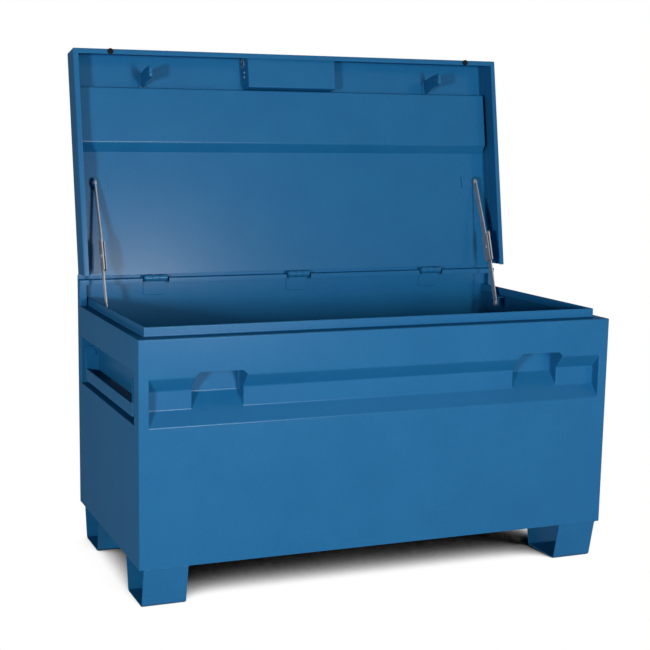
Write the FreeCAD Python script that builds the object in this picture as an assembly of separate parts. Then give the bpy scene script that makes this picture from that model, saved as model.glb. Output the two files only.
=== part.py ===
import FreeCAD
import Part
import math
import os

# Jobsite storage box: a welded sheet-steel chest on four folded feet, with a box lid on three hinges.
# Millimetres. The origin is on the floor under the middle of the chest. The front faces -Y, +Z is up.

# Chest
chest_width = 1219.2
chest_depth = 609.6
wall_height = 527.0
sheet = 2.0

# Feet: folded plates, open to the left and right
foot_height = 96.0
foot_width = 105.6
foot_top_depth = 163.4
foot_slant = 20.0
foot_plate = 3.0
foot_side_inset = 11.3
foot_end_inset = 3.6

# Long recess across the front wall
recess_above_underside = 326.5
recess_lower_slope = 32.0
recess_face_height = 45.5
recess_upper_slope = 32.5
recess_depth = 28.0
recess_end_margin = 25.1

# Padlock pockets in the front recess
pocket_from_end = 193.7
pocket_width = 123.2
pocket_depth = 58.0
pocket_back_height = 94.5
hood_rise = 11.5
hood_chamfer = 10.5
housing_depth = 110.0

# Shelf on top of the walls, with the raised rim at its inner edge
rim_side_inset = 23.7
rim_front_inset = 38.8
rim_height = 21.8

# Rail and corner posts along the rear
rail_height = 67.5
rail_depth = 23.8
rail_lip = 14.0
post_width = 18.6
upstand_height = 13.0

# Hinges
hinge_from_end = 204.6
hinge_setback = 18.8
knuckle_radius = 9.0
knuckle_length = 20.0
knuckle_gap = 0.5
hinge_pin_radius = 4.5
hinge_pin_head_radius = 6.0
hinge_pin_head = 2.0
running_clearance = 0.05
leaf_plate = 3.0
body_leaf_height = 39.5
lid_leaf_reach = 45.0
leaf_relief = 12.0
notch_margin = 6.0
notch_back_strip = 4.8

# Lid, drawn closed and then swung open
open_angle = 99.67
lid_top_above_axis = 7.7
lid_rear_gap = 10.0
lid_flange_gap = 15.0
lid_flange_foot_gap = 6.0
lid_front_setback = 3.6
lid_flange_height = 70.4
lid_lip = 13.4

# Stiffening channel and lock plate inside the lid
channel_from_front = 89.2
channel_face = 144.0
channel_height = 21.7
channel_end_gap = 17.6
lock_plate = 3.0

# Lock box near the middle of the lid's front edge
lock_box_left_of_middle = 6.5
lock_box_width = 254.0
lock_box_height = 49.7
lock_box_length = 85.0
lock_box_hole_radius = 9.5
lock_box_hole_from_flange = 14.0
lock_box_hole_height = 11.5

# Hasp hooks on the lid, one over each padlock pocket
hasp_thickness = 8.0
hasp_foot_width = 22.0
hasp_foot_plate = 4.0
hasp_foot_from_front = 37.2
hasp_foot_length = 49.0
hasp_reach = 92.7
hasp_head_from_front = 45.2
hasp_head_length = 30.0
hasp_neck_height = 45.0
hasp_head_chamfer = 6.0
hasp_eye_radius = 7.0
hasp_eye_from_tip = 15.0
hasp_slot_clearance = 3.0

# Rubber bumpers under the lid's front lip
bumper_from_end = 96.6
bumper_radius = 7.5
seat_clearance = 0.3

# Lid stays: two flat links at each end
stay_inset = 47.2
link_plate = 3.0
link_gap = 0.4
lower_link_width = 17.0
upper_link_width = 19.0
stay_foot_from_rear = 123.8
stay_foot_drop = 20.0
stay_lid_reach = 250.2
stay_lid_drop = 7.4
lower_link_run = 162.9
knee_offset = 9.4
knee_plate_width = 34.0
knee_plate_below = 40.0
knee_plate_above = 44.0
stay_pin_radius = 4.0
stay_head_radius = 7.0
stay_head = 2.5
stay_bracket_half = 12.0
stay_lid_plate_width = 42.0
stay_lid_plate_half = 17.0

# End handles: a bail in a recessed pan at each end
pan_above_underside = 326.5
pan_height = 121.0
pan_front_margin = 40.8
pan_rear_margin = 28.8
pan_depth = 40.0
bail_end_gap = 34.0
bail_plate = 4.0
bail_pivot_height = 87.0
bail_pivot_radius = 14.0
bail_reach = 35.0
bail_bottom_height = 13.5
grip_height = 30.0
bail_pin_radius = 5.0
bail_pin_head_radius = 7.0
bail_pin_head = 3.0
lug_gap = 0.6
lug_width = 26.0
lug_height = 27.0

# Worked out from the sizes above
half_width = chest_width / 2
half_depth = chest_depth / 2
pocket_from_middle = half_width - pocket_from_end
hinge_from_middle = half_width - hinge_from_end
bumper_from_middle = half_width - bumper_from_end
underside_z = foot_height
shelf_z = underside_z + wall_height
rail_z = shelf_z + rail_height
recess_low_z = underside_z + recess_above_underside
recess_face_low_z = recess_low_z + recess_lower_slope
recess_face_high_z = recess_face_low_z + recess_face_height
recess_high_z = recess_face_high_z + recess_upper_slope
recess_half = half_width - recess_end_margin
recess_y = -half_depth + recess_depth
pocket_back_y = -half_depth + pocket_depth
pocket_floor_z = recess_face_low_z + (pocket_depth - recess_depth) * recess_lower_slope / recess_depth
pocket_back_z = recess_face_low_z + pocket_back_height
housing_back_y = -half_depth + housing_depth
rim_x = half_width - rim_side_inset
rim_y = -half_depth + rim_front_inset
rail_y = half_depth - rail_depth
hinge_y = half_depth - hinge_setback
hinge_z = rail_z
upstand_z = rail_z + upstand_height
hinge_half_length = 1.5 * knuckle_length
lid_inner = lid_top_above_axis - sheet
lid_front = hinge_y + half_depth - lid_front_setback
lip_v = lid_flange_height - lid_top_above_axis
channel_top_u = lid_front - channel_from_front
channel_v = channel_height - lid_inner
lock_plate_v = lock_plate - lid_inner
stay_x = half_width - stay_inset
pan_back_x = half_width - pan_depth
pan_front_y = -half_depth + pan_front_margin
pan_rear_y = half_depth - pan_rear_margin
pan_low_z = underside_z + pan_above_underside
bail_front_y = pan_front_y + bail_end_gap
bail_rear_y = pan_rear_y - bail_end_gap
bail_x = pan_back_x + seat_clearance + bail_pivot_radius
bail_z = pan_low_z + bail_pivot_height
bail_low_z = pan_low_z + bail_bottom_height
bail_outer_x = pan_back_x + seat_clearance + bail_reach


def box(x0, x1, y0, y1, z0, z1):
    low = FreeCAD.Vector(min(x0, x1), min(y0, y1), min(z0, z1))
    return Part.makeBox(abs(x1 - x0), abs(y1 - y0), abs(z1 - z0), low)


def prism_along_x(points, x0, x1):
    """Extrude a (y, z) outline from x0 to x1."""
    corners = [FreeCAD.Vector(x0, y, z) for y, z in points]
    face = Part.Face(Part.makePolygon(corners + corners[:1]))
    return face.extrude(FreeCAD.Vector(x1 - x0, 0, 0))


def prism_along_y(points, y0, y1):
    """Extrude an (x, z) outline from y0 to y1."""
    corners = [FreeCAD.Vector(x, y0, z) for x, z in points]
    face = Part.Face(Part.makePolygon(corners + corners[:1]))
    return face.extrude(FreeCAD.Vector(0, y1 - y0, 0))


def rod_along_x(y, z, radius, x0, x1):
    start = FreeCAD.Vector(min(x0, x1), y, z)
    return Part.makeCylinder(radius, abs(x1 - x0), start, FreeCAD.Vector(1, 0, 0))


def rod_along_y(x, z, radius, y0, y1):
    start = FreeCAD.Vector(x, min(y0, y1), z)
    return Part.makeCylinder(radius, abs(y1 - y0), start, FreeCAD.Vector(0, 1, 0))


def mirrored(shape):
    """The same piece on the other end of the chest."""
    return shape.mirror(FreeCAD.Vector(0, 0, 0), FreeCAD.Vector(1, 0, 0))


def inside_path(path, thickness):
    """Shift a bent path to its left, mitred at the bends and cut level at both ends."""
    directions = []
    for (a0, b0), (a1, b1) in zip(path, path[1:]):
        length = math.hypot(a1 - a0, b1 - b0)
        directions.append(((a1 - a0) / length, (b1 - b0) / length))
    normals = [(-b, a) for a, b in directions]
    shifted = []
    for index, (a, b) in enumerate(path):
        if 0 < index < len(path) - 1:
            n0, n1 = normals[index - 1], normals[index]
            scale = thickness / (1 + n0[0] * n1[0] + n0[1] * n1[1])
            shifted.append((a + scale * (n0[0] + n1[0]), b + scale * (n0[1] + n1[1])))
        else:
            end = min(index, len(normals) - 1)
            slide = -thickness * normals[end][1] / directions[end][1]
            shifted.append((a + thickness * normals[end][0] + slide * directions[end][0], b))
    return shifted


def strip(outer, inner, index):
    """The outline of one flat strip between two bends of a folded sheet."""
    return [outer[index], outer[index + 1], inner[index + 1], inner[index]]


def swing_open(shape):
    """Turn a lid piece from its closed place to its open place."""
    swung = shape.copy()
    swung.rotate(FreeCAD.Vector(0, hinge_y, hinge_z), FreeCAD.Vector(1, 0, 0), -open_angle)
    return swung


def lid_point(u, v):
    """Closed lid: u runs from the hinge axis to the front, v runs down from the hinge axis."""
    return (hinge_y - u, hinge_z - v)


def lid_box(x0, x1, u0, u1, v0, v1):
    return box(x0, x1, hinge_y - u1, hinge_y - u0, hinge_z - v1, hinge_z - v0)


recess_path = [
    (-half_depth, recess_high_z),
    (recess_y, recess_face_high_z),
    (recess_y, recess_face_low_z),
    (-half_depth, recess_low_z),
]
recess_inside = inside_path(recess_path, sheet)


def pocket_edges(side):
    return (
        side * pocket_from_middle - pocket_width / 2,
        side * pocket_from_middle + pocket_width / 2,
    )


def front_panel():
    """Front wall: the long recess is let into its window, and the hoods rise over the pockets."""
    wall = box(-half_width, half_width, -half_depth, -half_depth + sheet, underside_z, shelf_z)
    window = box(-recess_half, recess_half, -half_depth, -half_depth + sheet, recess_low_z, recess_high_z)
    wall = wall.cut(window)
    for side in (-1, 1):
        left, right = pocket_edges(side)
        hood = [
            (left, recess_high_z),
            (left + hood_chamfer, recess_high_z + hood_rise),
            (right - hood_chamfer, recess_high_z + hood_rise),
            (right, recess_high_z),
        ]
        wall = wall.cut(prism_along_y(hood, -half_depth, -half_depth + sheet))
    return wall


def recess_strip(index, spans):
    outline = strip(recess_path, recess_inside, index)
    return Part.makeCompound([prism_along_x(outline, x0, x1) for x0, x1 in spans])


def spans_between_pockets():
    left = pocket_edges(-1)
    right = pocket_edges(1)
    return [(-recess_half, left[0]), (left[1], right[0]), (right[1], recess_half)]


def recess_end_walls():
    front = -half_depth + sheet
    outline = [(front, recess_high_z)] + recess_inside + [(front, recess_low_z)]
    wall = prism_along_x(outline, recess_half, recess_half + sheet)
    return Part.makeCompound([wall, mirrored(wall)])


def padlock_housing(side):
    """Pocket for a padlock, and the closed housing behind it that the hasp drops into."""
    left, right = pocket_edges(side)
    front = -half_depth + sheet
    back = pocket_back_y + sheet
    slope = recess_lower_slope / recess_depth
    inner_low_z = recess_inside[2][1]
    inner_floor_z = inner_low_z + (back - recess_inside[2][0]) * slope
    chamber_low_z = pocket_back_z - sheet
    behind_slope = (front - recess_inside[0][0]) * recess_upper_slope / recess_depth
    cheek = [
        (front, shelf_z - sheet),
        (front, recess_high_z - behind_slope),
        recess_inside[1],
        recess_inside[2],
        (back, inner_floor_z),
        (back, chamber_low_z),
        (housing_back_y + sheet, chamber_low_z),
        (housing_back_y + sheet, shelf_z - sheet),
    ]
    floor = [
        recess_path[2],
        (pocket_back_y, pocket_floor_z),
        (back, inner_floor_z),
        recess_inside[2],
    ]
    back_plate = [
        (pocket_back_y, pocket_floor_z),
        (pocket_back_y, pocket_back_z),
        (back, pocket_back_z),
        (back, inner_floor_z),
    ]
    top = box(left, right, front, housing_back_y, shelf_z - 2 * sheet, shelf_z - sheet)
    middle = side * pocket_from_middle
    slot_half = hasp_thickness / 2 + hasp_slot_clearance
    slot_front = rim_y + sheet
    head_rear = hinge_y - (lid_front - hasp_head_from_front - hasp_head_length)
    slot_rear = head_rear + hasp_slot_clearance
    slot = box(middle - slot_half, middle + slot_half, slot_front, slot_rear, shelf_z - 2 * sheet, shelf_z)
    pieces = [
        prism_along_x(cheek, left - sheet, left),
        prism_along_x(cheek, right, right + sheet),
        prism_along_x(floor, left, right),
        prism_along_x(back_plate, left, right),
        box(left, right, back, housing_back_y, chamber_low_z, pocket_back_z),
        box(left, right, housing_back_y, housing_back_y + sheet, chamber_low_z, shelf_z - sheet),
        top.cut(slot),
    ]
    housing = pieces[0]
    for piece in pieces[1:]:
        housing = housing.fuse(piece)
    return housing.removeSplitter()


def side_panel():
    inner_y = half_depth - sheet
    wall = box(half_width - sheet, half_width, -inner_y, inner_y, underside_z, shelf_z)
    window = box(
        half_width - sheet, half_width,
        pan_front_y, pan_rear_y,
        pan_low_z, pan_low_z + pan_height,
    )
    return wall.cut(window)


def rear_panel():
    """Rear wall; it stands up behind the hinges."""
    return box(-half_width, half_width, half_depth - sheet, half_depth, underside_z, upstand_z)


def floor_panel():
    inner_x = half_width - sheet
    inner_y = half_depth - sheet
    return box(-inner_x, inner_x, -inner_y, inner_y, underside_z, underside_z + sheet)


def front_shelf():
    inner_x = half_width - sheet
    return box(-inner_x, inner_x, -half_depth + sheet, rim_y, shelf_z - sheet, shelf_z)


def side_shelf():
    return box(rim_x, half_width - sheet, rim_y, half_depth - sheet, shelf_z - sheet, shelf_z)


def front_rim():
    return box(-rim_x, rim_x, rim_y, rim_y + sheet, shelf_z - sheet, shelf_z + rim_height)


def side_rim():
    top = shelf_z + rim_height
    return box(rim_x - sheet, rim_x, rim_y + sheet, half_depth - sheet, shelf_z - sheet, top)


def corner_post():
    """Angle that closes the end of the rail above the shelf."""
    inner = half_width - post_width
    end_x = half_width - sheet
    front = box(inner, end_x, rail_y, rail_y + sheet, shelf_z, rail_z - rail_lip)
    end = box(end_x, half_width, rail_y, half_depth - sheet, shelf_z, rail_z)
    return front.fuse(end).removeSplitter()


def hinge_places():
    return (-hinge_from_middle, 0.0, hinge_from_middle)


def hinge_rail():
    """Angle along the inside of the rear wall, notched for each hinge."""
    end_x = half_width - sheet
    top = box(-end_x, end_x, rail_y, half_depth - sheet, rail_z - sheet, rail_z)
    lip = box(-end_x, end_x, rail_y, rail_y + sheet, rail_z - rail_lip, rail_z - sheet)
    rail = top.fuse(lip)
    half_notch = hinge_half_length + notch_margin
    for x in hinge_places():
        notch = box(x - half_notch, x + half_notch, rail_y, half_depth - notch_back_strip,
                    rail_z - rail_lip, rail_z)
        rail = rail.cut(notch)
    return rail.removeSplitter()


def foot(front, left):
    """Folded foot: two slanting plates and a flat sole."""
    y0 = -half_depth + foot_end_inset
    y1 = y0 + foot_top_depth
    path = [
        (y0, foot_height),
        (y0 + foot_slant, 0.0),
        (y1 - foot_slant, 0.0),
        (y1, foot_height),
    ]
    inner = inside_path(path, foot_plate)
    x0 = -half_width + foot_side_inset
    shape = prism_along_x(path + inner[::-1], x0, x0 + foot_width)
    if not left:
        shape = mirrored(shape)
    if not front:
        shape = shape.mirror(FreeCAD.Vector(0, 0, 0), FreeCAD.Vector(0, 1, 0))
    return shape


def hinge_body_leaf(x):
    """Leaf on the rear wall, with the two outer knuckles."""
    wall_y = half_depth - sheet
    arm_low = hinge_z - knuckle_radius
    leaf = box(x - hinge_half_length, x + hinge_half_length, wall_y - leaf_plate, wall_y,
               arm_low + leaf_plate - body_leaf_height, arm_low + leaf_plate)
    bore = rod_along_x(hinge_y, hinge_z, hinge_pin_radius + running_clearance,
                       x - hinge_half_length, x + hinge_half_length)
    for side in (-1, 1):
        outer = x + side * hinge_half_length
        inner = x + side * (knuckle_length / 2 + knuckle_gap / 2)
        arm = box(inner, outer, hinge_y, wall_y, arm_low, arm_low + leaf_plate)
        knuckle = rod_along_x(hinge_y, hinge_z, knuckle_radius, inner, outer)
        leaf = leaf.fuse(arm).fuse(knuckle)
    return leaf.cut(bore).removeSplitter()


def hinge_lid_leaf(x):
    """Leaf on the outside of the lid, with the middle knuckle."""
    half_knuckle = knuckle_length / 2 - knuckle_gap / 2
    outer_v = -lid_top_above_axis - leaf_plate
    tongue = lid_box(x - half_knuckle, x + half_knuckle, 0, leaf_relief, outer_v, -lid_top_above_axis)
    leaf = lid_box(x - hinge_half_length, x + hinge_half_length, leaf_relief, lid_leaf_reach,
                   outer_v, -lid_top_above_axis)
    knuckle = rod_along_x(hinge_y, hinge_z, knuckle_radius, x - half_knuckle, x + half_knuckle)
    bore = rod_along_x(hinge_y, hinge_z, hinge_pin_radius + running_clearance,
                       x - half_knuckle, x + half_knuckle)
    return swing_open(tongue.fuse(leaf).fuse(knuckle).cut(bore).removeSplitter())


def hinge_pins():
    pins = []
    for x in hinge_places():
        end = hinge_half_length + seat_clearance
        pin = rod_along_x(hinge_y, hinge_z, hinge_pin_radius, x - end, x + end)
        for side in (-1, 1):
            head = rod_along_x(hinge_y, hinge_z, hinge_pin_head_radius,
                               x + side * end, x + side * (end + hinge_pin_head))
            pin = pin.fuse(head)
        pins.append(pin.removeSplitter())
    return Part.makeCompound(pins)


def lid_panel():
    return swing_open(lid_box(-half_width, half_width, lid_rear_gap, lid_front,
                              -lid_top_above_axis, -lid_inner))


def lid_front_flange():
    flange = lid_box(-half_width, half_width, lid_front - sheet, lid_front, -lid_inner, lip_v)
    lip = lid_box(-half_width, half_width, lid_front - lid_lip, lid_front - sheet, lip_v - sheet, lip_v)
    return swing_open(flange.fuse(lip).removeSplitter())


def lid_side_flange():
    """Right-hand side; its rear end slants and its lip stops at the front lip."""
    outline = [
        (lid_flange_gap, -lid_inner),
        (lid_front - sheet, -lid_inner),
        (lid_front - sheet, lip_v - sheet),
        (lid_flange_foot_gap, lip_v - sheet),
    ]
    flange = prism_along_x([lid_point(u, v) for u, v in outline], half_width - sheet, half_width)
    lip = lid_box(half_width - lid_lip, half_width, lid_flange_foot_gap, lid_front - lid_lip,
                  lip_v - sheet, lip_v)
    return swing_open(flange.fuse(lip).removeSplitter())


def lid_channel():
    """Folded stiffener across the lid: a slanting side, a flat face and a square side."""
    foot_u = channel_top_u - channel_face - channel_height
    path = [
        (foot_u, -lid_inner),
        (foot_u + channel_height, channel_v),
        (channel_top_u, channel_v),
        (channel_top_u, -lid_inner),
    ]
    inner = inside_path(path, -sheet)
    outline = [lid_point(u, v) for u, v in path + inner[::-1]]
    half = half_width - channel_end_gap
    return swing_open(prism_along_x(outline, -half, half))


def lid_lock_plate():
    half = half_width - channel_end_gap
    return swing_open(lid_box(-half, half, channel_top_u, lid_front - sheet, -lid_inner, lock_plate_v))


def lock_box():
    """Cover over the lock gear near the middle of the lid's front edge."""
    left = -lock_box_left_of_middle - lock_box_width / 2
    right = left + lock_box_width
    low_u = lid_front - sheet - lock_box_length
    face_v = lock_box_height - lid_inner
    shell = lid_box(left, right, low_u, lid_front - sheet, lock_plate_v, face_v)
    hollow = lid_box(left + sheet, right - sheet, low_u + sheet, lid_front - sheet,
                     lock_plate_v, face_v - sheet)
    under = lid_box(left, right, low_u, channel_top_u, lock_plate_v, channel_v)
    hole_y, hole_z = lid_point(lid_front - sheet - lock_box_hole_from_flange,
                               lock_box_hole_height - lid_inner)
    hole = rod_along_x(hole_y, hole_z, lock_box_hole_radius, left, right)
    return swing_open(shell.cut(hollow).cut(under).cut(hole))


def hasp(side):
    """Hook that drops through the shelf into the housing, with an eye for the padlock's shackle."""
    middle = side * pocket_from_middle
    x0 = middle - hasp_thickness / 2
    x1 = middle + hasp_thickness / 2
    foot_front = lid_front - hasp_foot_from_front
    foot_rear = foot_front - hasp_foot_length
    head_front = lid_front - hasp_head_from_front
    head_rear = head_front - hasp_head_length
    tip_v = lock_plate_v + hasp_reach
    neck_v = lock_plate_v + hasp_neck_height
    outline = [
        (foot_rear, lock_plate_v),
        (foot_front, lock_plate_v),
        (head_front, neck_v),
        (head_front, tip_v - hasp_head_chamfer),
        (head_front - hasp_head_chamfer, tip_v),
        (head_rear + hasp_head_chamfer, tip_v),
        (head_rear, tip_v - hasp_head_chamfer),
        (head_rear, neck_v),
    ]
    blade = prism_along_x([lid_point(u, v) for u, v in outline], x0, x1)
    base = lid_box(middle - hasp_foot_width / 2, middle + hasp_foot_width / 2,
                   foot_rear, foot_front, lock_plate_v, lock_plate_v + hasp_foot_plate)
    eye_y, eye_z = lid_point((head_front + head_rear) / 2, tip_v - hasp_eye_from_tip)
    eye = rod_along_x(eye_y, eye_z, hasp_eye_radius, x0, x1)
    return swing_open(blade.fuse(base).cut(eye).removeSplitter())


def lid_bumpers():
    middle_u = lid_front - lid_lip / 2
    y, lip_z = lid_point(middle_u, lip_v)
    height = lip_z - shelf_z - seat_clearance
    bumpers = []
    for side in (-1, 1):
        base = FreeCAD.Vector(side * bumper_from_middle, y, lip_z - height)
        bumpers.append(swing_open(Part.makeCylinder(bumper_radius, height, base)))
    return Part.makeCompound(bumpers)


def stay_points():
    """Foot, knee and lid pivots of a stay as (y, z), with the lid open."""
    foot_y = half_depth - stay_foot_from_rear
    foot_z = shelf_z - stay_foot_drop
    lean = math.radians(180 - open_angle)
    lid_y = hinge_y + stay_lid_reach * math.cos(lean) - stay_lid_drop * math.sin(lean)
    lid_z = hinge_z + stay_lid_reach * math.sin(lean) + stay_lid_drop * math.cos(lean)
    span = math.hypot(lid_y - foot_y, lid_z - foot_z)
    along_y, along_z = (lid_y - foot_y) / span, (lid_z - foot_z) / span
    knee_y = foot_y + lower_link_run * along_y - knee_offset * along_z
    knee_z = foot_z + lower_link_run * along_z + knee_offset * along_y
    return (foot_y, foot_z), (knee_y, knee_z), (lid_y, lid_z)


def direction(start, end):
    length = math.hypot(end[0] - start[0], end[1] - start[1])
    return ((end[0] - start[0]) / length, (end[1] - start[1]) / length)


def flat_bar(start, end, width, x0, x1):
    """Flat bar with square ends between two (y, z) points."""
    along = direction(start, end)
    across = (-along[1] * width / 2, along[0] * width / 2)
    outline = [
        (start[0] + across[0], start[1] + across[1]),
        (end[0] + across[0], end[1] + across[1]),
        (end[0] - across[0], end[1] - across[1]),
        (start[0] - across[0], start[1] - across[1]),
    ]
    return prism_along_x(outline, x0, x1)


def link_bar(start, end, width, x0, x1):
    """Flat bar with round ends about its two pivots."""
    link = flat_bar(start, end, width, x0, x1)
    for pivot in (start, end):
        link = link.fuse(rod_along_x(pivot[0], pivot[1], width / 2, x0, x1))
    return link


def stay_lower_link():
    """Outer link of the right-hand stay, with the wide plate that covers the knee."""
    foot_point, knee, lid_pivot = stay_points()
    x0 = stay_x - link_plate
    link = link_bar(foot_point, knee, lower_link_width, x0, stay_x)
    along = direction(foot_point, knee)
    low = (knee[0] - along[0] * knee_plate_below, knee[1] - along[1] * knee_plate_below)
    high = (knee[0] + along[0] * knee_plate_above, knee[1] + along[1] * knee_plate_above)
    link = link.fuse(flat_bar(low, high, knee_plate_width, x0, stay_x))
    link = link.fuse(rod_along_x(knee[0], knee[1], stay_head_radius, stay_x, stay_x + stay_head))
    hole = rod_along_x(foot_point[0], foot_point[1], stay_pin_radius + running_clearance, x0, stay_x)
    return link.cut(hole).removeSplitter()


def stay_upper_link():
    """Inner link of the right-hand stay, from the knee to the lid."""
    foot_point, knee, lid_pivot = stay_points()
    x1 = stay_x - link_plate - link_gap
    x0 = x1 - link_plate
    link = link_bar(knee, lid_pivot, upper_link_width, x0, x1)
    link = link.fuse(rod_along_x(knee[0], knee[1], stay_head_radius, x0 - stay_head, x0))
    hole = rod_along_x(lid_pivot[0], lid_pivot[1], stay_pin_radius + running_clearance, x0, x1)
    return link.cut(hole).removeSplitter()


def stay_foot_bracket():
    """Angle under the right-hand shelf with the pin that carries the lower link."""
    y, z = stay_points()[0]
    x0 = stay_x + link_gap
    top = shelf_z - sheet
    y0 = y - stay_bracket_half
    y1 = y + stay_bracket_half
    tab = box(x0, x0 + link_plate, y0, y1, z, top)
    tab = tab.fuse(rod_along_x(y, z, stay_bracket_half, x0, x0 + link_plate))
    flange = box(x0, half_width - sheet, y0, y1, top - link_plate, top)
    head_x = stay_x - link_plate - seat_clearance
    pin = rod_along_x(y, z, stay_pin_radius, head_x - stay_head, x0)
    head = rod_along_x(y, z, stay_head_radius, head_x - stay_head, head_x)
    return tab.fuse(flange).fuse(pin).fuse(head).removeSplitter()


def stay_lid_bracket():
    """Tab on a plate inside the right-hand end of the lid, with the pin that carries the upper link."""
    upper_face = stay_x - link_plate - link_gap
    x0 = upper_face + link_gap
    x1 = x0 + link_plate
    u, v = stay_lid_reach, stay_lid_drop
    y, z = lid_point(u, v)
    tab = lid_box(x0, x1, u - stay_bracket_half, u + stay_bracket_half, -lid_inner, v)
    tab = tab.fuse(rod_along_x(y, z, stay_bracket_half, x0, x1))
    flange = lid_box(x1 - stay_lid_plate_width, x1, u - stay_lid_plate_half, u + stay_lid_plate_half,
                     -lid_inner, -lid_inner + link_plate)
    head_x = upper_face - link_plate - seat_clearance
    pin = rod_along_x(y, z, stay_pin_radius, head_x - stay_head, x0)
    head = rod_along_x(y, z, stay_head_radius, head_x - stay_head, head_x)
    return swing_open(tab.fuse(flange).fuse(pin).fuse(head).removeSplitter())


def handle_pan():
    """Pressed pan behind the right-hand side panel's window."""
    high = pan_low_z + pan_height
    outer = box(pan_back_x - sheet, half_width - sheet, pan_front_y - sheet, pan_rear_y + sheet,
                pan_low_z - sheet, high + sheet)
    hollow = box(pan_back_x, half_width - sheet, pan_front_y, pan_rear_y, pan_low_z, high)
    return outer.cut(hollow)


def bail_ends():
    """Which way each arm faces outwards, and the place of its outer face."""
    return ((-1, bail_front_y), (1, bail_rear_y))


def handle_arms():
    """The bail's two flat arms, each with a hole for its pin."""
    inner_x = pan_back_x + seat_clearance
    outline = [
        (inner_x, bail_low_z),
        (bail_outer_x, bail_low_z),
        (bail_outer_x, bail_z + bail_pivot_radius),
        (bail_x, bail_z + bail_pivot_radius),
        (inner_x, bail_z),
    ]
    arms = []
    for side, outer_y in bail_ends():
        inner_y = outer_y - side * bail_plate
        arm = prism_along_y(outline, outer_y, inner_y)
        arm = arm.fuse(rod_along_y(bail_x, bail_z, bail_pivot_radius, outer_y, inner_y))
        hole = rod_along_y(bail_x, bail_z, bail_pin_radius + running_clearance, outer_y, inner_y)
        arms.append(arm.cut(hole).removeSplitter())
    return Part.makeCompound(arms)


def handle_grip():
    return box(bail_outer_x - bail_plate, bail_outer_x, bail_front_y + bail_plate,
               bail_rear_y - bail_plate, bail_low_z, bail_low_z + grip_height)


def handle_lugs():
    """Lugs on the pan's back, just outside the arms."""
    lugs = []
    for side, outer_y in bail_ends():
        y0 = outer_y + side * lug_gap
        y1 = y0 + side * bail_plate
        lug = box(pan_back_x, pan_back_x + lug_width, y0, y1,
                  bail_z - lug_height / 2, bail_z + lug_height / 2)
        hole = rod_along_y(bail_x, bail_z, bail_pin_radius + running_clearance, y0, y1)
        lugs.append(lug.cut(hole))
    return lugs


def handle_pins():
    pins = []
    for side, outer_y in bail_ends():
        head_y = outer_y - side * (bail_plate + seat_clearance)
        end_y = outer_y + side * (lug_gap + bail_plate)
        shank = rod_along_y(bail_x, bail_z, bail_pin_radius, head_y, end_y)
        head = rod_along_y(bail_x, bail_z, bail_pin_head_radius, head_y - side * bail_pin_head, head_y)
        pins.append(shank.fuse(head).removeSplitter())
    return pins


def both_ends(pieces):
    """One node that holds the same pieces at the right and left ends."""
    return Part.makeCompound(pieces + [mirrored(piece) for piece in pieces])


parts = {
    "front_panel": front_panel(),
    "recess_upper_slope": recess_strip(0, spans_between_pockets()),
    "recess_face": recess_strip(1, spans_between_pockets()),
    "recess_lower_slope": recess_strip(2, [(-recess_half, recess_half)]),
    "recess_end_walls": recess_end_walls(),
    "padlock_housing_left": padlock_housing(-1),
    "padlock_housing_right": padlock_housing(1),
    "side_panel_right": side_panel(),
    "side_panel_left": mirrored(side_panel()),
    "rear_panel": rear_panel(),
    "floor_panel": floor_panel(),
    "front_shelf": front_shelf(),
    "side_shelf_right": side_shelf(),
    "side_shelf_left": mirrored(side_shelf()),
    "front_rim": front_rim(),
    "side_rim_right": side_rim(),
    "side_rim_left": mirrored(side_rim()),
    "corner_post_right": corner_post(),
    "corner_post_left": mirrored(corner_post()),
    "hinge_rail": hinge_rail(),
    "foot_front_left": foot(True, True),
    "foot_front_right": foot(True, False),
    "foot_rear_left": foot(False, True),
    "foot_rear_right": foot(False, False),
    "hinge_pins": hinge_pins(),
    "lid_panel": lid_panel(),
    "lid_front_flange": lid_front_flange(),
    "lid_side_flange_right": lid_side_flange(),
    "lid_side_flange_left": mirrored(lid_side_flange()),
    "lid_channel": lid_channel(),
    "lid_lock_plate": lid_lock_plate(),
    "lock_box": lock_box(),
    "hasp_left": hasp(-1),
    "hasp_right": hasp(1),
    "lid_bumpers": lid_bumpers(),
    "stay_lower_right": stay_lower_link(),
    "stay_lower_left": mirrored(stay_lower_link()),
    "stay_upper_right": stay_upper_link(),
    "stay_upper_left": mirrored(stay_upper_link()),
    "stay_foot_brackets": both_ends([stay_foot_bracket()]),
    "stay_lid_brackets": both_ends([stay_lid_bracket()]),
    "handle_pan_right": handle_pan(),
    "handle_pan_left": mirrored(handle_pan()),
    "handle_arms_right": handle_arms(),
    "handle_arms_left": mirrored(handle_arms()),
    "handle_grip_right": handle_grip(),
    "handle_grip_left": mirrored(handle_grip()),
    "handle_lugs": both_ends(handle_lugs()),
    "handle_pins": both_ends(handle_pins()),
}

for name, x in zip(("left", "middle", "right"), hinge_places()):
    parts["hinge_body_leaf_" + name] = hinge_body_leaf(x)
    parts["hinge_lid_leaf_" + name] = hinge_lid_leaf(x)

os.makedirs("parts", exist_ok=True)
for node, shape in parts.items():
    shape.exportStep("parts/" + node + ".step")
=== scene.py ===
import bpy
import bmesh
import math
from mathutils import Matrix, Vector


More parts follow.
